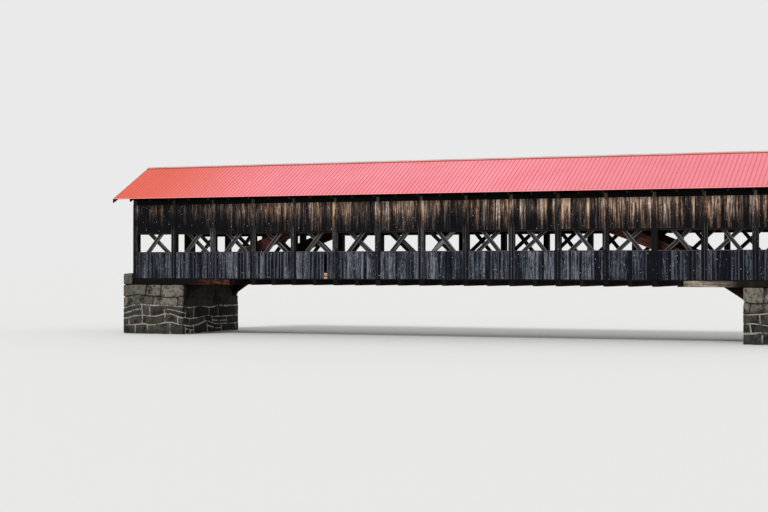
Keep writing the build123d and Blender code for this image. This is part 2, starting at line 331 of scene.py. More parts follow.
class Finish(Graph):
    """The node tree of a new material, with its shader."""

    def __init__(self, name):
        self.name = name
        self.material = bpy.data.materials.new(name)
        self.material.use_nodes = True
        super().__init__(self.material.node_tree)
        self.tree.nodes.clear()
        self.shader = self.add("ShaderNodeBsdfPrincipled")
        self.add("ShaderNodeOutputMaterial", {"Surface": self.shader.outputs[0]})

    def board(self):
        """What a board carries: its place along the grain and from side to side, and its tone."""
        grain, rim, tone = [self.add("ShaderNodeAttribute", attribute_name=name).outputs
                            for name in ("grain", "rim", "tone")]
        return {"Place": grain["Vector"], "Rim": rim["Fac"], "Tone": tone["Fac"],
                "Where": self.where()}

    def sawn(self, streak_width, stain_size, check_depth=1.0):
        """What a board carries, its grain and its stains."""
        given = self.board()
        grain = self.group("wood_grain", Place=given["Place"], Tone=given["Tone"],
                           Streak_Width=streak_width, Check_Depth=check_depth)
        stains = self.group("stain_patches", Place=given["Where"], Size=stain_size)
        return given, grain, stains

    def stained(self, size):
        """The place on the bridge, and the stains there."""
        where = self.where()
        return where, self.group("stain_patches", Place=where, Size=size)

    def done(self, colour, **inputs):
        """Feeds the shader and keeps the material under its name."""
        self.wire(self.shader.inputs, Base_Color=colour, **inputs)
        FINISHES[self.name] = self.material

    def done_as_wood(self, colour, grain):
        self.done(colour, Roughness=self.fit(grain["Fine"], 0.2, 0.8, 0.80, 0.96),
                  Specular_IOR_Level=0.08, Normal=self.bump(grain["Height"], 0.6, 0.004))


# Shader groups that several finishes share

def make_grain_group():
    """Bands, streaks, checks and knots of sawn wood, read along a board's own length."""
    graph, given, result = new_group(
        "wood_grain", "ShaderNodeTree",
        {"Place": "Vector", "Tone": 0.5, "Streak Width": 0.03, "Check Depth": 1.0},
        dict.fromkeys(("Bands", "Streaks", "Fine", "Mottle", "Checks", "Knots", "Height"),
                      "Float"))
    along, across, deep = graph.separate(given["Place"])
    shift = graph.times(given["Tone"], 91.0)
    wide = graph.math("DIVIDE", graph.plus(across, deep), given["Streak Width"])

    def layer(along_scale, wide_scale, detail, roughness, offset=0.0):
        at = graph.combine(graph.times(along, along_scale), graph.times(wide, wide_scale),
                           graph.plus(shift, offset))
        return graph.noise(at, 1.0, detail, roughness)

    fine = layer(2.6, 3.6, 2.0, 0.7)
    checks = graph.times(graph.fit(layer(0.8, 1.6, 2.0, 0.5, 7.0), 0.64, 0.72),
                         given["Check Depth"])
    graph.wire(result, Fine=fine, Checks=checks, Streaks=layer(1.1, 1.0, 3.0, 0.6),
               Bands=graph.fit(layer(0.9, 0.36, 2.0, 0.5, 3.0), 0.34, 0.66),
               Mottle=layer(7.5, 0.30, 2.0, 0.6, 11.0),
               Knots=graph.fit(layer(3.2, 0.32, 0.0, 0.5), 0.72, 0.8),
               Height=graph.minus(graph.times(fine, 0.5), checks))


def make_patch_group():
    """Broad stains and small uneven specks, read from the place on the bridge."""
    graph, given, result = new_group("stain_patches", "ShaderNodeTree",
                                     {"Place": "Vector", "Size": 1.0},
                                     {"Patches": "Float", "Specks": "Float"})
    place, size = given["Place"], given["Size"]
    near = graph.math("DIVIDE", place, graph.combine(size, size, size),
                      kind="ShaderNodeVectorMath")
    cells = graph.add("ShaderNodeTexVoronoi", {"Vector": place, "Scale": 6.2}).outputs
    reach = graph.fit(graph.separate(cells["Color"])[0], 0.25, 1.0, 0.0, 0.19)
    wobble = graph.times(graph.minus(graph.noise(place, 17.0, 2.0), 0.5), 0.16)
    graph.wire(result, Patches=graph.noise(near, 1.0, 4.0, 0.6, 0.3),
               Specks=graph.fit(graph.plus(cells["Distance"], wobble), reach,
                                graph.times(reach, 0.5)))


def weather_group(name, stain_size, extras):
    """The start of a group that weathers boards, with its grain and its stains."""
    graph, given, result = new_group(
        name, "ShaderNodeTree",
        {"Place": "Vector", "Rim": 0.0, "Tone": 0.5, "Where": "Vector", **extras},
        {"Color": "Color", "Height": "Float", "Fine": "Float"})
    wood = graph.group("wood_grain", Place=given["Place"], Tone=given["Tone"],
                       Streak_Width=0.024)
    stains = graph.group("stain_patches", Place=given["Where"], Size=stain_size)
    graph.wire(result, Height=wood["Height"], Fine=wood["Fine"])
    return graph, given, result, wood, stains


def make_grey_weather_group():
    """Blue-grey boards: each from near black to pale, paler along one edge, in streaks, and with
    painted shade towards both ends.
    """
    graph, given, result, wood, stains = weather_group("grey_weathering", 1.3, {"Paleness": 0.0})
    tone, rim = given["Tone"], given["Rim"]
    side = graph.minus(graph.math("GREATER_THAN", graph.redraw(tone, 7.0), 0.5), 0.5)
    x = graph.separate(given["Where"])[0]
    # The level falls towards both ends of the bridge: painted shade.
    level = graph.plus(given["Paleness"], graph.fit(x, -9.5, -4.0, 0.255, 0.345),
                       graph.fit(x, 8.4, 9.0, 0.0, -0.28))
    level = graph.weigh(level, (tone, 0.5, 0.74), (wood["Bands"], 0.5, 0.48),
                        (wood["Streaks"], 0.5, 1.15), (graph.times(rim, side), 0.0, 0.66),
                        (stains["Patches"], 0.5, -0.55), (wood["Fine"], 0.5, 1.15),
                        (wood["Mottle"], 0.5, 1.20))
    colour = graph.ramp(level, (0.0, (0.004, 0.005, 0.008)), (0.25, (0.015, 0.018, 0.027)),
                        (0.5, (0.044, 0.049, 0.063)), (0.75, (0.099, 0.106, 0.128)),
                        (1.0, (0.200, 0.208, 0.232)))
    edge = graph.fit(graph.away(rim), 0.36, 0.47)
    worn = graph.times(graph.fit(graph.redraw(tone, 13.0), 0.45, 0.75), 0.5)
    graph.wire(result, Color=graph.coat(
        colour, (graph.times(edge, worn), (0.21, 0.22, 0.245)),
        (graph.times(stains["Specks"], 0.65), (0.44, 0.45, 0.47)),
        (wood["Checks"], (0.003, 0.003, 0.005))))


def make_brown_weather_group():
    """Black boards with bare tan wood that runs down them from the eave, with painted shade towards
    their shaded end and at their edges.
    """
    graph, given, result, wood, stains = weather_group(
        "brown_weathering", 1.2,
        {"Foot": 0.0, "Head": 1.0, "Shaded End": -20.0, "Bareness": 0.0})
    tone = given["Tone"]
    x, _, z = graph.separate(given["Where"])
    end = graph.minus(x, given["Shaded End"])
    # The level falls over the first metres from the shaded end and rises a little far from it:
    # painted shade at that end.
    level = graph.plus(graph.fit(z, given["Foot"], given["Head"], -0.02, 0.575),
                       given["Bareness"], graph.fit(end, 2.5, 9.0, -0.33, -0.02),
                       graph.fit(end, 18.0, 27.0, 0.0, 0.10))
    level = graph.weigh(level, (tone, 0.5, graph.fit(end, 7.0, 22.0, 0.42, 0.84)),
                        (wood["Bands"], 0.5, 0.48),
                        (wood["Streaks"], 0.5, graph.fit(end, 7.0, 22.0, 0.8, 1.15)),
                        (stains["Patches"], 0.5, 0.60), (wood["Fine"], 0.5, 0.90),
                        (wood["Mottle"], 0.5, 0.65))
    colour = graph.ramp(level, (0.0, (0.0035, 0.0035, 0.0045)), (0.22, (0.014, 0.013, 0.014)),
                        (0.42, (0.050, 0.037, 0.034)), (0.62, (0.130, 0.084, 0.062)),
                        (0.82, (0.30, 0.200, 0.145)), (1.0, (0.62, 0.465, 0.355)))
    colour = graph.saturate(colour, graph.fit(graph.redraw(tone, 11.0), 0.0, 1.0, 0.75, 1.25))
    knots = graph.times(wood["Knots"], graph.fit(level, 0.3, 0.7, 0.2, 1.0), 0.8)
    graph.wire(result, Color=graph.coat(
        # Each board's edges go near black: painted shade in the gaps between boards.
        colour, (graph.away(given["Rim"]), 0.40, 0.48, 0.75, (0.006, 0.005, 0.005)),
        (knots, (0.014, 0.010, 0.008)),
        (graph.times(stains["Specks"], 0.6), (0.46, 0.42, 0.37)),
        (wood["Checks"], (0.003, 0.002, 0.002))))


# Finishes

def dimmed(colour, share):
    return tuple(value * share for value in colour)


def siding_below():
    graph = Finish("lower_siding_boards")
    grey = graph.group("grey_weathering", **graph.board())
    graph.done_as_wood(grey["Color"], grey)


def siding_above(zone):
    graph = Finish("upper_siding_boards")
    brown = graph.group("brown_weathering", **zone, **graph.board())
    graph.done_as_wood(brown["Color"], brown)


def cover_finish(sill, zone):
    """Nearly black below the sill, grey beside the windows, like the siding above them, and dark
    above the siding's head with painted eave shade.
    """
    graph = Finish("cover_boards")
    given = graph.board()
    foot, head = zone["Foot"], zone["Head"]
    z = graph.separate(given["Where"])[2]
    at_sill = (z, sill - 0.15, sill + 0.1)
    grey = graph.group("grey_weathering", Paleness=graph.fit(*at_sill, -0.60, -0.39), **given)
    brown = graph.group("brown_weathering", **zone, **given,
                        Bareness=graph.fit(given["Tone"], 0.0, 1.0, 0.16, 0.06))
    colour = graph.coat(graph.saturate(grey["Color"], graph.fit(*at_sill, 0.75, 0.2)),
                        (z, foot - 0.05, foot + 0.45, brown["Color"]),
                        # Dark grey above the siding's head: painted shade under the eave, on the
                        # covers and the head blocks.
                        (z, head, head + 0.03, 0.85, (0.022, 0.022, 0.024)))
    graph.done_as_wood(colour, grey)


def fresh_wood(graph, body, where, streaks, low, high):
    """The body colour with wood that kept its colour from new, and a split, in one stretch."""
    inside = 1.0
    places = graph.separate(where)
    for place, start, end in zip(places, low, high):
        off = graph.away(place, (start + end) / 2)
        inside = graph.times(inside, graph.math("LESS_THAN", off, (end - start) / 2))
    dark, light, split = NEW_WOOD
    beside = graph.away(places[2], low[2] * 0.55 + high[2] * 0.45)
    fresh = graph.coat(graph.mix(graph.fit(streaks, 0.35, 0.65), dark, light),
                       (beside, 0.05, 0.02, split))
    return graph.mix(inside, body, fresh)


def plain_wood(name, colours, edges=0.0, painted_eave_shade_from=None, fresh_at=None):
    """Sawn wood from dark to light by piece and streak, with paler edges where asked for.

    Where fresh_at gives two corners, the wood between them has kept its colour from new.
    """
    dark, light, worn = colours
    graph = Finish(name)
    given, grain, stains = graph.sawn(0.03, 1.3)
    streaks = grain["Streaks"]
    shade = graph.plus(given["Tone"], graph.fit(streaks, 0.25, 0.75))
    body = graph.coat(graph.mix(graph.times(shade, 0.5), dark, light),
                      (grain["Fine"], 0.62, 0.38, 0.75, dimmed(dark, 0.35)),
                      (stains["Patches"], 0.46, 0.66, 0.5, dark))
    if edges:
        rim = graph.times(graph.fit(graph.away(given["Rim"]), 0.30, 0.42),
                          graph.fit(streaks, 0.3, 0.55, 0.55, 1.0), edges)
        body = graph.mix(rim, body, worn)
    body = graph.mix(graph.times(stains["Specks"], 0.35), body, worn)
    if painted_eave_shade_from:
        z = graph.separate(given["Where"])[2]
        # Above that height the wood turns near black: painted shade under the eave.
        body = graph.coat(body, (z, painted_eave_shade_from - 0.1, painted_eave_shade_from + 0.1, 0.85,
                                 (0.002, 0.002, 0.002)))
    if fresh_at:
        body = fresh_wood(graph, body, given["Where"], streaks, *fresh_at)
    graph.done_as_wood(graph.mix(grain["Checks"], body, dimmed(dark, 0.2)), grain)


def arch_wood(seat):
    """Red-brown laminated planks with pale dusty streaks, near black with painted shade where they
    pass the seat under the deck.
    """
    graph = Finish("arch_timber")
    given, grain, stains = graph.sawn(0.02, 0.9, 0.6)
    z = graph.separate(given["Where"])[2]
    colour = graph.coat(
        graph.mix(given["Tone"], (0.040, 0.013, 0.011), (0.130, 0.044, 0.033)),
        (grain["Streaks"], 0.52, 0.72, 0.6, (0.28, 0.15, 0.105)),
        (grain["Fine"], 0.62, 0.4, 0.7, (0.014, 0.006, 0.006)),
        (stains["Patches"], 0.45, 0.65, 0.7, (0.026, 0.010, 0.009)),
        # Near black below half a metre over the seat: painted shade under the deck.
        (z, seat + 0.5, seat, 0.92, (0.006, 0.004, 0.004)),
        (grain["Checks"], (0.008, 0.004, 0.004)))
    graph.done_as_wood(colour, grain)


def bolster_wood(side, tip):
    """A bolster's wood: painted shade, near black, over the seat away from its tip, and weathered in
    patches towards the tip.
    """
    dark, light, worn = BOLSTER_WOOD[side]
    graph = Finish(f"bolster_timber_{side}")
    given, grain, stains = graph.sawn(0.03, 0.45)
    level = graph.weigh(stains["Patches"], (grain["Streaks"], 0.5, 0.9))
    away = graph.away(graph.separate(given["Where"])[0], tip)
    colour = graph.coat(
        graph.mix(graph.fit(level, 0.36, 0.66), dark, light),
        (level, 0.62, 0.78, 0.9, worn),
        (grain["Fine"], 0.62, 0.40, 0.7, dimmed(dark, 0.4)),
        # Near black from 1.2 m to 2.8 m away from the tip and beyond: painted shade.
        (away, 1.2, 2.8, 0.97, (0.004, 0.003, 0.003)),
        (grain["Checks"], dimmed(dark, 0.2)))
    graph.done_as_wood(colour, grain)


def roof_sheet(left, eave):
    """Faded red paint on ribbed sheet: pink on the flats and darker red beside the ribs, partly dirt
    and partly painted shade, with painted light turning the left end orange-red and a painted shadow
    under the ridge cap.
    """
    graph = Finish("roof_metal")
    where, stains = graph.stained(2.6)
    x, y, _ = graph.separate(where)
    down = graph.combine(graph.times(x, 6.0), graph.times(y, 0.5))
    streaks = graph.noise(down, 1.0, 3.0, 0.6)

    def from_rib(pitch, count):
        """How far a place lies from the nearest rib, where such ribs stand at that pitch."""
        along = graph.plus(x, pitch * (count + 0.5) + RIB_SIDE)
        return graph.away(graph.math("MODULO", along, pitch), pitch / 2)

    # Orange-red towards the left end: painted light, for the sun's different shading and reflection
    # there.
    orange = graph.fit(x, left + 11.5, left + 1.0)
    # Darker red along one side of each rib: partly dirt, partly painted shade on the rib's shaded
    # side.
    rib_shade_and_dirt = graph.times(graph.fit(from_rib(RIB_PITCH, 400), 0.046, 0.016),
                        graph.fit(orange, 0.0, 1.0, 0.78, 0.26),
                        graph.fit(x, -5.0, 12.0, 1.0, 0.45))
    up = graph.away(y)
    dusty = graph.times(graph.fit(up, eave - 0.3, eave, 0.0, 0.3), streaks)
    colour = graph.coat(
        graph.mix(graph.fit(stains["Patches"], 0.35, 0.65), (0.85, 0.230, 0.265),
                  (0.90, 0.285, 0.330)),
        (streaks, 0.35, 0.7, 0.3, (0.92, 0.345, 0.390)),
        (orange, (0.72, 0.130, 0.085)),
        (x, 2.0, 11.0, 0.5, (0.70, 0.180, 0.210)),
        (rib_shade_and_dirt, (0.46, 0.060, 0.080)),
        (from_rib(SHEET_WIDTH, 100), 0.03, 0.01, 0.2, (0.20, 0.03, 0.035)),
        (dusty, (0.40, 0.09, 0.09)),
        (up, eave - 0.07, eave - 0.03, 0.6, (0.93, 0.52, 0.54)),
        # A dark red band along the ridge: painted shadow under the ridge cap.
        (up, 0.27, 0.17, 0.85, (0.42, 0.035, 0.045)),
        (graph.times(stains["Specks"], 0.25), (0.45, 0.12, 0.10)))
    graph.done(colour, Roughness=graph.fit(stains["Patches"], 0.3, 0.7, 0.5, 0.68),
               Specular_IOR_Level=0.2, Normal=graph.bump(streaks, 0.1, 0.004))


def ridge_sheet():
    """Pale strip with a faint lap at each sheet's end."""
    graph = Finish("ridge_metal")
    where, stains = graph.stained(1.1)
    patches = stains["Patches"]
    body = graph.mix(graph.fit(patches, 0.35, 0.65), (0.63, 0.22, 0.19), (0.72, 0.33, 0.28))
    end = graph.math("PINGPONG", graph.separate(where)[0], RIDGE_STRIP)
    graph.done(graph.coat(body, (end, 0.02, 0.008, 0.6, (0.45, 0.12, 0.11))),
               Roughness=graph.fit(patches, 0.3, 0.7, 0.4, 0.6))


def rubble():
    """Field stone: dark and damp low down, darkened with painted shade under the bridge, and paler up
    its open sides.
    """
    graph = Finish("abutment_stone")
    where, stains = graph.stained(0.5)
    tone = graph.add("ShaderNodeAttribute", attribute_name="tone").outputs["Fac"]
    coarse = graph.noise(where, 7.0, 6.0, 0.65)
    crystals = graph.noise(where, 46.0, 3.0, 0.7)
    _, y, z = graph.separate(where)
    open_side = graph.fit(graph.away(y), *SHELTERED_Y)
    # The dark stone colours are partly painted shade: the stone stays dark under the bridge, where
    # its pale crumbs fade too, and turns pale only up its open sides.
    dark = graph.mix(tone, (0.005, 0.0045, 0.004), (0.048, 0.038, 0.028))
    pale = graph.mix(tone, (0.075, 0.070, 0.058), (0.200, 0.180, 0.145))
    unshaded_upper = graph.times(graph.fit(z, 1.45, 1.75), open_side)
    crumbs = graph.times(graph.fit(crystals, 0.52, 0.72, 0.1, 0.5),
                         graph.fit(open_side, 0.0, 1.0, 0.45, 1.0))
    wet = graph.plus(z, graph.times(coarse, 0.5))
    colour = graph.coat(
        graph.mix(unshaded_upper, dark, pale),
        (coarse, 0.56, 0.36, 0.80, (0.004, 0.004, 0.0035)),
        (crumbs, (0.20, 0.19, 0.165)),
        (stains["Patches"], 0.5, 0.66, 0.8, (0.005, 0.005, 0.004)),
        (wet, 0.75, 0.2, 0.6, (0.014, 0.015, 0.012)))
    relief = graph.plus(coarse, graph.times(crystals, 0.25))
    graph.done(colour, Roughness=graph.fit(crystals, 0.3, 0.7, 0.75, 0.95),
               Specular_IOR_Level=0.1, Normal=graph.bump(relief, 0.7, 0.03))


def mortar(name, thin, full):
    """Pointing between stones, crumbled in places to a darker bed, and paler with painted light on
    the river faces under the bridge.
    """
    graph = Finish(name)
    where, stains = graph.stained(0.4)
    coarse = graph.noise(where, 16.0, 4.0, 0.6)
    x, y, _ = graph.separate(where)
    sheltered = graph.times(graph.fit(graph.away(y), *SHELTERED_Y, 0.32, 0.0),
                            graph.fit(graph.away(x), *SHELTERED_X, 1.0, 0.0))
    lit_pointing = tuple(min(1.0, value) for value in dimmed(full, 1.9))
    # Paler pointing on the river faces under the bridge: painted light.
    colour = graph.coat(graph.mix(coarse, thin, full), (sheltered, lit_pointing),
                        (stains["Patches"], 0.48, 0.64, 0.88, dimmed(thin, 0.15)))
    graph.done(colour, Roughness=0.93, Specular_IOR_Level=0.1,
               Normal=graph.bump(coarse, 0.6, 0.012))


def iron():
    graph = Finish("bolt_iron")
    rust = graph.noise(graph.where(), 60.0, 4.0, 0.6)
    graph.done(graph.mix(rust, (0.035, 0.026, 0.022), (0.13, 0.060, 0.035)),
               Roughness=graph.fit(rust, 0.3, 0.7, 0.55, 0.85))


def painted_screws():
    """Screw heads in the roof's paint, rusted through here and there."""
    graph = Finish("roof_screws")
    rust = graph.fit(graph.noise(graph.where(), 3.0, 2.0, 0.6), 0.5, 0.65)
    graph.done(graph.mix(rust, (0.62, 0.16, 0.16), (0.22, 0.075, 0.050)),
               Roughness=graph.fit(rust, 0.0, 1.0, 0.45, 0.8))


def make_finishes():
    """Builds the shared groups and then every material."""
    make_grain_group()
    make_patch_group()
    make_grey_weather_group()
    make_brown_weather_group()
    wall_low, wall_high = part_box("upper_siding_near")
    zone = {"Foot": wall_low.z, "Head": wall_high.z, "Shaded_End": wall_low.x}
    siding_below()
    siding_above(zone)
    cover_finish(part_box("sill_planks")[1].z, zone)
    special = {"brace_timber": {"edges": 0.85}, "frame_timber": {"painted_eave_shade_from": wall_high.z}}
    for name, colours in SAWN_WOOD.items():
        plain_wood(name, colours, **special.get(name, {}))
    low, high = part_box("lower_chord_near")
    bared = ((MISSING_BOARD_X - 0.2, low.y - 0.1, low.z + 0.05),
             (MISSING_BOARD_X + 0.2, low.y + 0.1, high.z))
    plain_wood("lower_chord_timber", SAWN_WOOD["frame_timber"], fresh_at=bared)
    bolster_wood("left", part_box("bolsters_left")[1].x)
    bolster_wood("right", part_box("bolsters_right")[0].x)
    arch_wood(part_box("bolsters_left")[0].z)
    rubble()
    mortar("abutment_pointing", (0.15, 0.14, 0.125), (0.38, 0.37, 0.335))
    mortar("abutment_bed", (0.012, 0.011, 0.009), (0.045, 0.042, 0.036))
    roof_low, roof_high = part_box("roofing_far")
    roof_sheet(roof_low.x, roof_high.y)
    ridge_sheet()
    iron()
    painted_screws()


# Boards by Geometry Nodes

def make_boarding_tree():
    """Boards side by side over a flat field, cut to lengths along it, each its own box.

    The field lies in its own X and Y from the origin: X along the boards and Y across them.
    Every point on a board keeps the place in that board and the board's tone.
    """
    graph, given, result = new_group(
        "boarding", "GeometryNodeTree",
        {"Length": 2.0, "Span": 4.0, "Thickness": 0.025, "Board Width": 0.16,
         "Width Variation": 0.3, "Board Length": 99.0, "Gap": 0.005, "End Wander": 0.0,
         "Seed": 1, "Material": "Material"}, {"Boards": "Geometry"})
    seed, gap, thickness = given["Seed"], given["Gap"], given["Thickness"]
    length, span, board_length = given["Length"], given["Span"], given["Board Length"]

    rows = graph.math("CEIL", graph.math("DIVIDE", span, given["Board Width"]))
    columns = graph.math("CEIL", graph.math("DIVIDE", length, board_length))
    columns = graph.plus(columns, graph.math("GREATER_THAN", columns, 1.0))
    points = graph.made("GeometryNodeMeshLine", {"Count": graph.times(rows, columns)})
    index = graph.made("GeometryNodeInputIndex")
    row = graph.math("FLOOR", graph.math("DIVIDE", graph.plus(index, 0.5), columns))
    column = graph.minus(index, graph.times(row, columns))

    spread = given["Width Variation"]
    width = graph.random(graph.minus(1.0, spread), graph.plus(1.0, spread), row, seed)
    summed = graph.add("GeometryNodeAccumulateField", data_type="FLOAT")
    graph.wire(summed.inputs, Value=graph.times(width, graph.math("LESS_THAN", column, 0.5)))
    to_span = graph.math("DIVIDE", span, pick(summed.outputs, "Total"))
    width = graph.times(width, to_span)
    far_edge = graph.times(pick(summed.outputs, "Leading"), to_span)
    middle_v = graph.minus(far_edge, graph.times(width, 0.5))

    stagger = graph.times(graph.random(0.0, 1.0, row, graph.plus(seed, 17.0)),
                          graph.math("GREATER_THAN", columns, 1.0))
    start = graph.times(graph.minus(column, stagger), board_length)
    end = graph.math("MINIMUM", graph.plus(start, board_length), length)
    start = graph.math("MAXIMUM", start, 0.0)
    wander = graph.times(graph.random(0.0, 1.0, index, graph.plus(seed, 31.0)),
                         given["End Wander"])
    shown = graph.minus(graph.minus(graph.minus(end, start), gap), wander)
    lean = graph.random(-0.5, 0.5, index, graph.plus(seed, 43.0))
    middle_u = graph.plus(graph.times(graph.plus(start, end), 0.5), graph.times(wander, lean))

    centre = graph.combine(middle_u, middle_v, graph.times(thickness, 0.5))
    size = graph.combine(shown, graph.minus(width, gap), thickness)
    tone = graph.random(0.0, 1.0, index, graph.plus(seed, 59.0))
    points = graph.keep(points, "tone", tone, "FLOAT")
    points = graph.keep(points, "size", size)
    points = graph.keep(points, "middle", centre)
    points = graph.made("GeometryNodeSetPosition", {"Geometry": points, "Position": centre})
    short = graph.math("LESS_THAN", graph.separate(graph.kept("size"))[0], 0.05)
    points = graph.made("GeometryNodeDeleteGeometry", {"Geometry": points, "Selection": short})
    boards = graph.made("GeometryNodeInstanceOnPoints", {
        "Points": points, "Instance": graph.made("GeometryNodeMeshCube"),
        "Scale": graph.kept("size")})
    real = graph.made("GeometryNodeRealizeInstances", {"Geometry": boards})
    place = graph.math("SUBTRACT", graph.made("GeometryNodeInputPosition"),
                       graph.kept("middle"), kind="ShaderNodeVectorMath")
    rim = graph.math("DIVIDE", graph.separate(place)[1],
                     graph.separate(graph.kept("size"))[1])
    grained = graph.keep(graph.keep(real, "grain", place), "rim", rim, "FLOAT")
    graph.wire(result, Boards=graph.made("GeometryNodeSetMaterial", {
        "Geometry": grained, "Material": given["Material"]}))


def grown(name, settings, edge=0.0, start=None):
    """The mesh that a Geometry Nodes tree makes with these inputs, with its edges eased."""
    seedling = bpy.data.objects.new("seedling", start or bpy.data.meshes.new("seedling"))
    bpy.context.scene.collection.objects.link(seedling)
    modifier = seedling.modifiers.new("made", "NODES")
    modifier.node_group = bpy.data.node_groups[name]
    sockets = {item.name: item.identifier
               for item in modifier.node_group.interface.items_tree if item.in_out == "INPUT"}
    for label, value in settings.items():
        modifier[sockets[label.replace("_", " ")]] = value
    if edge:
        bevel = seedling.modifiers.new("edge", "BEVEL")
        bevel.width = edge
        bevel.segments = 1
        bevel.limit_method = "ANGLE"
    evaluated = seedling.evaluated_get(bpy.context.evaluated_depsgraph_get())
    mesh = bpy.data.meshes.new_from_object(evaluated)
    bpy.data.objects.remove(seedling)
    return mesh


def boarding(origin, along, across, edge=BOARD_EDGE, **settings):
    """Boards on the plane from origin, with their length along and their row across it."""
    mesh = grown("boarding", settings, edge)
    u, v = Vector(along).normalized(), Vector(across).normalized()
    turn = Matrix((u, v, u.cross(v))).transposed().to_4x4()
    mesh.transform(Matrix.Translation(origin) @ turn)
    return mesh


def upright_boards(faces, heights, runs, seed, finish, count=None, **settings):
    """Upright boards between two faces of a wall, over each run along it.

    A run has count boards, or else as many as are about BOARD_WIDTH wide.
    """
    meshes = []
    for k, (x0, x1) in enumerate(runs):
        near = faces[0] < 0
        origin = (x1, faces[1], heights[0]) if near else (x0, faces[0], heights[0])
        meshes.append(boarding(
            origin, (0, 0, 1), (-1 if near else 1, 0, 0), Length=heights[1] - heights[0],
            Span=x1 - x0, Thickness=faces[1] - faces[0], Seed=seed + k,
            Board_Width=(x1 - x0) / count if count else BOARD_WIDTH,
            Material=FINISHES[finish], **settings))
    return join_meshes(meshes)


# Nails, screws and bolts by Geometry Nodes

def make_stud_tree():
    """A faceted head on a flat washer, set on every point of the given mesh."""
    graph, given, result = new_group(
        "studs", "GeometryNodeTree",
        {"Places": "Geometry", "Sides": 6, "Radius": 0.01, "Height": 0.005,
         "Washer Radius": 0.02, "Washer Height": 0.002, "Turn": "Vector",
         "Material": "Material"}, {"Studs": "Geometry"})
    joined = graph.add("GeometryNodeJoinGeometry")
    for wide, narrow, tall in (("Radius", 0.7, "Height"), ("Washer Radius", 0.94, "Washer Height")):
        graph.feed(joined.inputs[0], graph.made("GeometryNodeMeshCone", {
            "Vertices": given["Sides"], "Radius Bottom": given[wide],
            "Radius Top": graph.times(given[wide], narrow), "Depth": given[tall]}))
    placed = graph.made("GeometryNodeInstanceOnPoints", {
        "Points": given["Places"], "Instance": joined.outputs[0], "Rotation": given["Turn"]})
    real = graph.made("GeometryNodeRealizeInstances", {"Geometry": placed})
    graph.wire(result, Studs=graph.made("GeometryNodeSetMaterial", {
        "Geometry": real, "Material": given["Material"]}))


def studs(places, facing, finish, sizes):
    """Heads on all of the places, turned so that they stand out along the facing direction."""
    start = bpy.data.meshes.new("places")
    start.from_pydata(places, [], [])
    settings = dict(zip(HEAD_SIZES, sizes))
    settings["Turn"] = tuple(Vector(facing).to_track_quat("Z", "Y").to_euler())
    return grown("studs", {**settings, "Material": FINISHES[finish]}, start=start)


def nail_places(mesh, heights, plane_y):
    """Two nails a board at each height, on the boards' outer face."""
    bm = bmesh.new()
    bm.from_mesh(mesh)
    places = []
    for group in islands(bm):
        low_x, high_x = min(v.co.x for v in group), max(v.co.x for v in group)
        low_z, high_z = min(v.co.z for v in group), max(v.co.z for v in group)
        inset = (high_x - low_x) * 0.24
        for z in heights:
            if low_z + 0.03 < z < high_z - 0.03:
                places += [(x, plane_y, z) for x in (low_x + inset, high_x - inset)]
    bm.free()
    return places


def siding_nails(side, walls):
    """Nail heads in the siding and the cover boards, in rows over the timbers behind them."""
    out, outermost = (-1, min) if side == "near" else (1, max)
    meshes = []
    for wall, heights in walls:
        plane = outermost(v.co.y for v in wall.data.vertices)
        places = nail_places(wall.data, heights, plane)
        meshes.append(studs(places, (0, out, 0), "bolt_iron", NAIL))
    piece(f"nails_{side}", join_meshes(meshes))


def roof_screws(side):
    """Screws with washers beside every rib, in rows up the roof."""
    low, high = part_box(f"roofing_{side}")
    sign = -1 if low.y < 0 else 1
    cos, sin = math.cos(ROOF_PITCH), math.sin(ROOF_PITCH)
    eave_y, eave_z = sign * max(abs(low.y), abs(high.y)), low.z + SHEET_THICKNESS / cos
    slope = abs(eave_y) / cos
    ribs = int((high.x - low.x) / 2 / RIB_PITCH)
    places = []
    for row in range(int((slope - 0.3) / SCREW_STEP) + 1):
        up = 0.12 + row * SCREW_STEP
        for k in range(-ribs, ribs):
            x = k * RIB_PITCH + 2 * RIB_SIDE
            places.append((x, eave_y - sign * up * cos, eave_z + up * sin))
    mesh = studs(places, (0, sign * sin, cos), "roof_screws", SCREW)
    piece(f"roof_screws_{side}", mesh)


def arch_bolts(side):
    """Bolts with washers through the planks of an arch, staggered in two rows."""
    low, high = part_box(f"arch_{side}")
    radius, centre_z, reach = arch_shape(high)
    reach -= 0.01
    face, inward = (high.y, 1) if side == "near" else (low.y, -1)
    count = int(2 * reach * radius / BOLT_STEP)
    places = []
    for k in range(count + 1):
        angle = -reach + 2 * reach * k / count
        r = radius + ARCH_DEPTH * (0.27 if k % 2 else 0.73)
        places.append((r * math.sin(angle), face, centre_z + r * math.cos(angle)))
    piece(f"arch_bolts_{side}", studs(places, (0, inward, 0), "bolt_iron", BOLT))


# Meshes and pieces

def join_meshes(meshes):
    """One mesh of several, with their attributes kept."""
    joined = bmesh.new()
    for mesh in meshes:
        joined.from_mesh(mesh)
    whole = bpy.data.meshes.new("joined")
    for material in dict.fromkeys(m for mesh in meshes for m in mesh.materials):
        whole.materials.append(material)
    joined.to_mesh(whole)
    joined.free()
    return whole


def mesh_of(bm, name):
    mesh = bpy.data.meshes.new(name)
    bm.to_mesh(mesh)
    bm.free()
    return mesh


def piece(name, mesh, finish=None, replaced=()):
    """A finished piece of the bridge on its one body and the nodes it replaces."""
    mesh.name = name
    made = bpy.data.objects.new(name, mesh)
    bpy.context.scene.collection.objects.link(made)
    if finish:
        mesh.materials.clear()
        mesh.materials.append(FINISHES[finish])
    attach(made, "root")
    if replaced:
        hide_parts(*replaced)
    return made


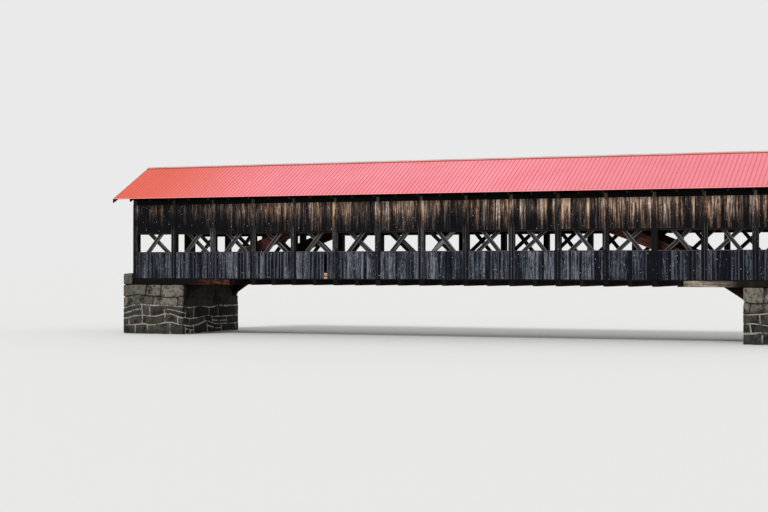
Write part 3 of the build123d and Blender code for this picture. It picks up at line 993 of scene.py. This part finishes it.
def cad_solids(node):
    """A copy of a CAD node's solids, with whole faces and with their corners joined."""
    bm = bmesh.new()
    bm.from_mesh(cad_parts[node].data)
    bmesh.ops.remove_doubles(bm, verts=bm.verts, dist=0.0001)
    bmesh.ops.dissolve_limit(bm, angle_limit=math.radians(1), verts=bm.verts, edges=bm.edges)
    return bm


def islands(bm):
    """The separate solids in a mesh, as lists of their vertices."""
    seen, groups = set(), []
    for start in bm.verts:
        if start in seen:
            continue
        group, open_ends = [], [start]
        seen.add(start)
        while open_ends:
            vertex = open_ends.pop()
            group.append(vertex)
            for edge in vertex.link_edges:
                other = edge.other_vert(vertex)
                if other not in seen:
                    seen.add(other)
                    open_ends.append(other)
        groups.append(group)
    return groups


def grain_frame(group):
    """The middle of a timber and its directions: along its longest edge, then across it."""
    edges = list(dict.fromkeys(edge for vertex in group for edge in vertex.link_edges))
    longest = max(edges, key=lambda e: round(e.calc_length(), 3))
    along = (longest.verts[1].co - longest.verts[0].co).normalized()
    if along[max(range(3), key=lambda k: abs(along[k]))] < 0:
        along = -along
    side = Vector((0, 1, 0)) if abs(along.y) < 0.9 else Vector((0, 0, 1))
    across = side.cross(along).normalized()
    low = Vector([min(v.co[k] for v in group) for k in range(3)])
    high = Vector([max(v.co[k] for v in group) for k in range(3)])
    return (low + high) / 2, along, across, across.cross(along)


def board_layers(bm):
    """What each vertex of a timber carries for its finish."""
    layers = bm.verts.layers
    return layers.float_vector.new("grain"), layers.float.new("rim"), layers.float.new("tone")


def mark(vertex, layers, values):
    for layer, value in zip(layers, values):
        vertex[layer] = value


def timber(node, seed, finish):
    """A CAD node's timbers with eased edges, and with their own tone and grain along each."""
    bm = cad_solids(node)
    corners = [e for e in bm.edges if e.is_manifold and e.calc_face_angle_signed() > 0.5]
    bmesh.ops.bevel(bm, geom=corners, offset=TIMBER_EDGE, segments=1, affect="EDGES",
                    clamp_overlap=True)
    rng = random.Random(seed)
    layers = board_layers(bm)
    for group in islands(bm):
        middle, along, across, deep = grain_frame(group)
        shade = rng.random()
        spread = [(vertex.co - middle).dot(across) for vertex in group]
        low, width = min(spread), max(spread) - min(spread)
        for vertex, side in zip(group, spread):
            at = vertex.co - middle
            mark(vertex, layers, ((at.dot(along), side, at.dot(deep)),
                                  (side - low) / width - 0.5, shade))
    piece(f"{node}_timber", mesh_of(bm, node), finish, [node])


def uneven_steps(start, end, rng, length, spread, stops=()):
    """Joints from start to end at uneven steps of about that length, with one at every stop."""
    joints = [start]
    for stop in sorted(s for s in stops if start < s < end) + [end]:
        room = stop - joints[-1]
        count = max(1, round(room / length))
        parts = [rng.uniform(1 - spread, 1 + spread) for _ in range(count)]
        scale = room / sum(parts)
        for part in parts:
            joints.append(joints[-1] + part * scale)
        joints[-1] = stop
    return joints


# Siding

def siding(level, side, seed, runs):
    """Upright boards over a siding node, in the given runs along the bridge."""
    node, slot = f"{level}_siding_{side}", f"{level}_siding_boards"
    low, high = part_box(node)
    mesh = upright_boards((low.y, high.y), (low.z, high.z), runs, seed, slot,
                          Width_Variation=0.32, Gap=BOARD_GAP, End_Wander=0.012)
    return piece(f"{level}_boards_{side}", mesh, None, [node])


def cover_boards(side, seed):
    """Two boards side by side in front of each post."""
    node = f"cover_boards_{side}"
    bm = cad_solids(node)
    runs = sorted((min(v.co.x for v in g), max(v.co.x for v in g)) for g in islands(bm))
    bm.free()
    low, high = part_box(node)
    mesh = upright_boards((low.y, high.y), (low.z, high.z), runs, seed, "cover_boards", 2,
                          Width_Variation=0.1, Gap=LAID_GAP, End_Wander=0.02)
    return piece(f"{node}_pairs", mesh, None, [node])


def head_blocks(side, seed):
    """A short board over each post between the siding and the eave."""
    low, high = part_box(f"upper_siding_{side}")
    post_low, post_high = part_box("posts_near")
    bay = (post_high.x - post_low.x - POST_WIDTH) / BAYS
    posts = [post_low.x + POST_WIDTH / 2 + bay * k for k in range(BAYS + 1)]
    runs = [(x - HEAD_BLOCK_WIDTH / 2, x + HEAD_BLOCK_WIDTH / 2) for x in posts]
    heights = (high.z + 0.004, high.z + HEAD_BLOCK_HEIGHT)
    # The head blocks take the cover boards' finish, with its painted eave shade.
    mesh = upright_boards((low.y, high.y), heights, runs, seed, "cover_boards", 1,
                          Width_Variation=0.0)
    piece(f"head_blocks_{side}", mesh)


def clipped_board(bm, layers, xs, ys, feet, heads, shade):
    """One upright board of a portal, cut to sloping lines at its foot and head."""
    corners = [bm.verts.new((x, y, z)) for y, foot, head in zip(ys, feet, heads)
               for z in (foot, head) for x in xs]
    middle = Vector((sum(xs) / 2, sum(ys) / 2, 0))
    for vertex in corners:
        at = vertex.co - middle
        mark(vertex, layers, ((at.z, at.y, at.x), 0.5 if at.y > 0 else -0.5, shade))
    for ring in ((0, 1, 3, 2), (4, 6, 7, 5), (0, 4, 5, 1), (2, 3, 7, 6), (0, 2, 6, 4),
                 (1, 5, 7, 3)):
        bm.faces.new([corners[k] for k in ring])


def portal(side, seed):
    """Upright boards round one doorway and over it, up to the roof boards."""
    jambs, gable = f"portal_jambs_{side}", f"portal_gable_{side}"
    low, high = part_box(jambs)
    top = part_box(gable)[1].z
    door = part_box("wheel_guards")[1].y
    rng = random.Random(seed)
    bm = bmesh.new()
    layers = board_layers(bm)

    def bottom(y):
        if abs(y) >= door - 1e-6:
            return low.z
        return high.z - PORTAL_CORNER + min(PORTAL_CORNER, door - abs(y))

    def head(y):
        return top - 0.004 - abs(y) * math.tan(ROOF_PITCH)

    stops = (-door, door, 0.0, door - PORTAL_CORNER, PORTAL_CORNER - door)
    for y0, y1 in pairwise(uneven_steps(-high.y, high.y, rng, BOARD_WIDTH, 0.25, stops)):
        ys = (y0 + BOARD_GAP / 2, y1 - BOARD_GAP / 2)
        outside = abs((y0 + y1) / 2) > door
        feet = [low.z if outside else bottom(y) for y in ys]
        clipped_board(bm, layers, (low.x, high.x), ys, feet, [head(y) for y in ys],
                      rng.random())
    bmesh.ops.recalc_face_normals(bm, faces=bm.faces)
    piece(f"portal_boards_{side}", mesh_of(bm, jambs), "portal_boards",
          [jambs, gable])


# Arches

def arch_shape(high):
    """The arch's inner radius, its centre's height and half its angle, from its box.

    The radius is halved in on until the foot comes to the height that it has in the box.
    """
    foot_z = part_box("arch_near")[0].z
    near, far = 15.0, 60.0
    for _ in range(60):
        radius = (near + far) / 2
        outer = radius + ARCH_DEPTH
        if high.z - outer + radius * math.sqrt(1 - (high.x / outer) ** 2) < foot_z:
            near = radius
        else:
            far = radius
    return radius, high.z - radius - ARCH_DEPTH, math.asin(high.x / (radius + ARCH_DEPTH))


def curved_plank(bm, layers, radius, thickness, ys, angles, centre_z, shade):
    """One lamination plank between two angles from the crown, bent to the arch."""
    start, end = angles
    steps = max(4, round((end - start) * radius / 0.42))
    rings = []
    for k in range(steps + 1):
        angle = start + (end - start) * k / steps
        ring = []
        for r, y in ((radius, ys[0]), (radius + thickness, ys[0]), (radius + thickness, ys[1]),
                     (radius, ys[1])):
            vertex = bm.verts.new((r * math.sin(angle), y, centre_z + r * math.cos(angle)))
            mark(vertex, layers, (
                (angle * radius, r - radius - thickness / 2, y - (ys[0] + ys[1]) / 2),
                (r - radius) / thickness - 0.5, shade))
            ring.append(vertex)
        rings.append(ring)
    for a, b in pairwise(rings):
        for k in range(4):
            bm.faces.new((a[k], b[k], b[k - 3], a[k - 3]))
    bm.faces.new(rings[0])
    bm.faces.new(reversed(rings[-1]))


def arch(side, seed):
    """Laminated planks with staggered ends, each layer a little proud or shy of the next."""
    node = f"arch_{side}"
    low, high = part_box(node)
    radius, centre_z, reach = arch_shape(high)
    layer = ARCH_DEPTH / ARCH_LAYERS
    step = ARCH_PLANK / radius
    rng = random.Random(seed)
    bm = bmesh.new()
    layers = board_layers(bm)
    for k in range(ARCH_LAYERS):
        start = -reach - rng.random() * step
        while start < reach:
            end = start + step * rng.uniform(0.9, 1.1)
            a, b = max(start, -reach), min(end, reach)
            if b - a > 0.01:
                ys = (low.y + rng.uniform(0.0, ARCH_SHY), high.y - rng.uniform(0.0, ARCH_SHY))
                curved_plank(bm, layers, radius + k * layer + 0.0015, layer - 0.004, ys,
                             (a + 0.0001, b - 0.0001), centre_z, rng.random())
            start = end
    bmesh.ops.recalc_face_normals(bm, faces=bm.faces)
    piece(f"{node}_planks", mesh_of(bm, node), "arch_timber", [node])


# Abutments

def wavy(point, box):
    """A point of a joint moved a little in its wall, so that courses aren't ruled lines."""
    low, high = box
    moved = Vector(point)
    long, short = noise.noise_vector(moved * 0.8), noise.noise_vector(moved * 2.3)
    for k in range(3):
        shift = long[k] * LONG_WAVES[k] + short[k] * SHORT_WAVES[k]
        inner = min(point[k] - low[k], high[k] - point[k])
        moved[k] += shift * min(1.0, max(0.0, inner) / 0.3)
    return moved


def stone_grid(low, high, curve):
    """Where the lines of a block's grid lie along one side, closer together round its edges."""
    rim = (0.0, 0.35 * curve, curve)
    span = high - low
    return ([low + step for step in rim] + [low + 0.38 * span, low + 0.62 * span] +
            [high - step for step in reversed(rim)])


def stone(bm, tone, low, high, wall, rng, curve=0.035, dents=0.006, joint=STONE_JOINT):
    """A dressed or rough block between two corners, its edges rounded and its faces dented."""
    low = Vector([low[k] + joint / 2 for k in range(3)])
    high = Vector([high[k] - joint / 2 for k in range(3)])
    curve = min([curve] + [0.3 * (high[k] - low[k]) for k in range(3)])
    lines = [stone_grid(low[k], high[k], curve) for k in range(3)]
    last = len(lines[0]) - 1
    shade = rng.random()
    lump = Vector([rng.uniform(0, 90) for _ in range(3)])
    corners = {}

    def corner(key):
        if key not in corners:
            place = Vector([lines[k][key[k]] for k in range(3)])
            inner = Vector([min(max(place[k], low[k] + curve), high[k] - curve)
                            for k in range(3)])
            dent = max(0.0, dents * (0.6 + noise.fractal(place * 2.6 + lump, 0.8, 2.1, 3)))
            place = inner + (place - inner).normalized() * (curve - dent)
            corners[key] = bm.verts.new(wavy(place, wall))
            corners[key][tone] = shade
        return corners[key]

    for axis in range(3):
        u, v = (axis + 1) % 3, (axis + 2) % 3
        for end in (0, last):
            for a in range(last):
                for b in range(last):
                    ring = []
                    for da, db in ((0, 0), (1, 0), (1, 1), (0, 1)):
                        key = [0, 0, 0]
                        key[axis], key[u], key[v] = end, a + da, b + db
                        ring.append(corner(tuple(key)))
                    bm.faces.new(ring if end else reversed(ring))


def lay(bm, tone, low, high, wall, rng, mortared):
    """One stone of a course, or in the mortared courses now and then two, one on the other."""
    if not mortared:
        stone(bm, tone, low, high, wall, rng, **ROUGH_STONE)
        return
    split = rng.random() < 0.3
    middle = low[2] + (high[2] - low[2]) * rng.uniform(0.42, 0.58)
    levels = (low[2], middle, high[2]) if split else (low[2], high[2])
    for z0, z1 in pairwise(levels):
        stone(bm, tone, (low[0], low[1], z0), (high[0], high[1], z1), wall, rng)


def courses_of(bm, tone, box, rng, pockets, river_sign):
    """Courses round a block: each pair of opposite walls runs through the corners in turn."""
    low, high = box
    for n, (z0, z1) in enumerate(pairwise(COURSES)):
        mortared = n < MORTARED_COURSES
        along, across, spread = MORTARED_STONES if mortared else ROUGH_STONES
        x_trim, y_trim = (0.0, STONE_DEPTH) if n % 2 == 0 else (STONE_DEPTH, 0.0)
        for y0, y1 in ((low.y, low.y + STONE_DEPTH), (high.y - STONE_DEPTH, high.y)):
            joints = uneven_steps(low.x + x_trim, high.x - x_trim, rng, along, spread)
            for a, b in pairwise(joints):
                lay(bm, tone, (a, y0, z0), (b, y1, z1), box, rng, mortared)
        for x0, x1 in ((low.x, low.x + STONE_DEPTH), (high.x - STONE_DEPTH, high.x)):
            river = (x0 == low.x) == (river_sign < 0)
            cut = river and z1 > pockets["foot"]
            joints = uneven_steps(low.y + y_trim, high.y - y_trim, rng, across, spread,
                                  pockets["stops"] if cut else ())
            for a, b in pairwise(joints):
                hollow = any(p0 - 0.01 < a and b < p1 + 0.01 for p0, p1 in pockets["spans"])
                if not (cut and hollow):
                    lay(bm, tone, (x0, a, z0), (x1, b, z1), box, rng, mortared)


def stone_piece(name, bm, finish, replaced=()):
    bmesh.ops.recalc_face_normals(bm, faces=bm.faces)
    mesh = mesh_of(bm, name)
    for face in mesh.polygons:
        face.use_smooth = True
    piece(name, mesh, finish, replaced)


def abutment(side, seed):
    """Rough coursed blocks round a core of mortar, with a wall at the back up to the roadway."""
    node = f"abutment_{side}"
    low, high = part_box(node)
    sign = 1 if low.x > 0 else -1
    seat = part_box(f"bolsters_{side}")[0].z
    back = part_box("deck")[1].x
    arch_low, arch_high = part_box("arch_far")
    rng = random.Random(seed)
    noise.seed_set(seed)
    spans = [(arch_low.y - POCKET_SLACK, arch_high.y + POCKET_SLACK),
             (-arch_high.y - POCKET_SLACK, POCKET_SLACK - arch_low.y)]
    pockets = {"spans": spans, "stops": [p for pair in spans for p in pair],
               "foot": arch_low.z + 0.02}
    bm = bmesh.new()
    tone = bm.verts.layers.float.new("tone")
    base = (Vector((low.x, low.y, low.z)), Vector((high.x, high.y, seat)))
    courses_of(bm, tone, base, rng, pockets, -sign)
    x0, x1 = sorted((sign * back, sign * max(abs(low.x), abs(high.x))))
    wall = (Vector((x0, low.y, seat)), Vector((x1, high.y, high.z)))
    length, _, spread = ROUGH_STONES
    for a, b in pairwise(uneven_steps(low.y, high.y, rng, length, spread)):
        stone(bm, tone, (x0, a, seat), (x1, b, high.z), wall, rng, **ROUGH_STONE)
    stone_piece(f"{node}_stones", bm, "abutment_stone", [node])

    bm = bmesh.new()
    tone = bm.verts.layers.float.new("tone")
    inset = Vector((MORTAR_INSET, MORTAR_INSET, 0))
    top = COURSES[MORTARED_COURSES] + 0.03
    bed_low = low + inset + Vector((0, 0, 0.006))
    bed_high = Vector((high.x, high.y, top)) - inset
    middle = (bed_low.x + bed_high.x) / 2
    for a, b in ((bed_low, (middle, bed_high.y, top)),
                 ((middle, bed_low.y, bed_low.z), bed_high)):
        stone(bm, tone, a, b, base, rng, 0.012, 0.003, 0.0)
    stone_piece(f"{node}_pointing", bm, "abutment_pointing")
    piece(f"{node}_core", inset_copy(node, CORE_INSET), "abutment_bed")


def inset_copy(node, inset):
    """A node's mesh with every face moved in by the inset."""
    bm = cad_solids(node)
    bm.normal_update()
    moved = {}
    for vertex in bm.verts:
        ways = []
        for face in vertex.link_faces:
            if all(face.normal.dot(way) < 0.99 for way in ways):
                ways.append(face.normal.copy())
        moved[vertex] = vertex.co - sum(ways, Vector()) * inset
    for vertex, place in moved.items():
        if vertex.co.z > 0.001:
            vertex.co = place
        else:
            vertex.co = Vector((place.x, place.y, vertex.co.z + 0.002))
    return mesh_of(bm, node)


# Roof and floor

def roof_boarding(side, seed):
    """Sheathing boards along the bridge, laid from the eave to the ridge."""
    node = f"roof_boards_{side}"
    low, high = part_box(node)
    near = low.y < 0
    eave_y, end, along = (low.y, low.x, 1) if near else (high.y, high.x, -1)
    along = Vector((along, 0, 0))
    up = Vector((0, math.cos(ROOF_PITCH) if near else -math.cos(ROOF_PITCH),
                 math.sin(ROOF_PITCH)))
    foot = Vector((end, eave_y, low.z)) + along.cross(up) * 0.0006
    reach = abs(eave_y) / math.cos(ROOF_PITCH)
    mesh = boarding(foot, along, up, edge=0.0, Length=high.x - low.x,
                    Span=reach - ROOF_BOARD_THICKNESS * math.tan(ROOF_PITCH),
                    Thickness=ROOF_BOARD_THICKNESS - 0.001, Board_Width=ROOF_BOARD_WIDTH,
                    Width_Variation=0.2, Board_Length=ROOF_BOARD_LENGTH, Gap=LAID_GAP,
                    Seed=seed, Material=FINISHES["roof_timber"])
    piece(f"{node}_laid", mesh, None, [node])


def deck_planks(seed):
    low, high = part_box("deck")
    mesh = boarding((low.x, high.y, low.z), (0, -1, 0), (1, 0, 0), Length=high.y - low.y,
                    Span=high.x - low.x, Thickness=high.z - low.z,
                    Board_Width=DECK_PLANK_WIDTH, Width_Variation=0.15, Gap=LAID_GAP,
                    End_Wander=0.01, Seed=seed, Material=FINISHES["deck_planks"])
    piece("deck_laid", mesh, None, ["deck"])


# Stage

def studio():
    """A pale floor, a soft even sky and a broad sun from the camera's side."""
    Finish("studio_floor").done(FLOOR_COLOUR, Roughness=0.9)
    mesh = bpy.data.meshes.new("studio_floor")
    r = FLOOR_REACH
    mesh.from_pydata([(-r, -r, 0), (r, -r, 0), (r, r, 0), (-r, r, 0)], [], [(0, 1, 2, 3)])
    mesh.materials.append(FINISHES["studio_floor"])
    floor = bpy.data.objects.new("studio_floor", mesh)

    world = bpy.data.worlds.new("studio")
    bpy.context.scene.world = world
    world.use_nodes = True
    world.node_tree.nodes.clear()
    graph = Graph(world.node_tree)
    light = graph.fill("ShaderNodeBackground", (1, 1, 1), SKY_STRENGTH)
    seen = graph.fill("ShaderNodeBackground", BACKGROUND, 1.0)
    path = graph.add("ShaderNodeLightPath").outputs
    show = graph.math("MAXIMUM", path["Is Camera Ray"], path["Is Glossy Ray"])
    mixed = graph.fill("ShaderNodeMixShader", show, light, seen)
    graph.add("ShaderNodeOutputWorld", {"Surface": mixed})

    lamp = bpy.data.lights.new("sun_front", "SUN")
    lamp.energy = SUN_STRENGTH
    lamp.angle = math.radians(SUN_SPREAD)
    sun = bpy.data.objects.new("sun_front", lamp)
    sun.rotation_euler = [math.radians(a) for a in SUN_TURN]

    lens = bpy.data.cameras.new("camera")
    lens.lens = LENS
    lens.sensor_width = 36.0
    lens.clip_end = 2000.0
    camera = bpy.data.objects.new("camera", lens)
    camera.location = CAMERA_PLACE
    camera.rotation_euler = (math.radians(90 + CAMERA_RISE), 0, math.radians(CAMERA_TURN))
    for thing in (floor, sun, camera):
        bpy.context.scene.collection.objects.link(thing)
    bpy.context.scene.camera = camera
    bpy.context.scene.view_settings.view_transform = "Standard"


def dress_sides():
    """Siding, nails, timbers, arches and roof of the near and the far side."""
    low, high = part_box("upper_siding_near")
    half = MISSING_BOARD_WIDTH / 2
    whole = [(low.x, high.x)]
    broken = [(low.x, MISSING_BOARD_X - half), (MISSING_BOARD_X + half, high.x)]
    lower_rows = (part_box("lower_chord_near")[0].z + 0.12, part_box("lower_siding_near")[1].z - 0.05)
    upper_rows = (low.z + 0.05, (low.z + high.z) / 2, high.z - 0.06)
    for k, side in enumerate(("near", "far")):
        lower = siding("lower", side, 11 + 12 * k, whole if k else broken)
        upper = siding("upper", side, 37 + 16 * k, whole)
        covers = cover_boards(side, 100 + 40 * k)
        siding_nails(side, ((lower, lower_rows), (upper, upper_rows),
                            (covers, lower_rows + upper_rows)))
        roof_screws(side)
        arch_bolts(side)
        head_blocks(side, 300 + 40 * k)
        for n, (kind, slot) in enumerate(SIDE_TIMBERS.items()):
            node = f"{kind}_{side}"
            finish = "lower_chord_timber" if node == "lower_chord_near" else slot
            timber(node, 3 + 2 * n + k, finish)
        arch(side, 61 + k)
        roof_boarding(side, 71 + k)
        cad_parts[f"roofing_{side}"].material_slots[0].material = FINISHES["roof_metal"]
    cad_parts["ridge_cap"].material_slots[0].material = FINISHES["ridge_metal"]


def main():
    make_finishes()
    make_boarding_tree()
    make_stud_tree()
    dress_sides()
    for slot, seed, nodes in SHARED_TIMBERS:
        for k, node in enumerate(nodes.split()):
            timber(node, seed + k, slot)
    deck_planks(83)
    for k, side in enumerate(("left", "right")):
        abutment(side, 91 + k)
        portal(side, 95 + k)
    studio()


main()
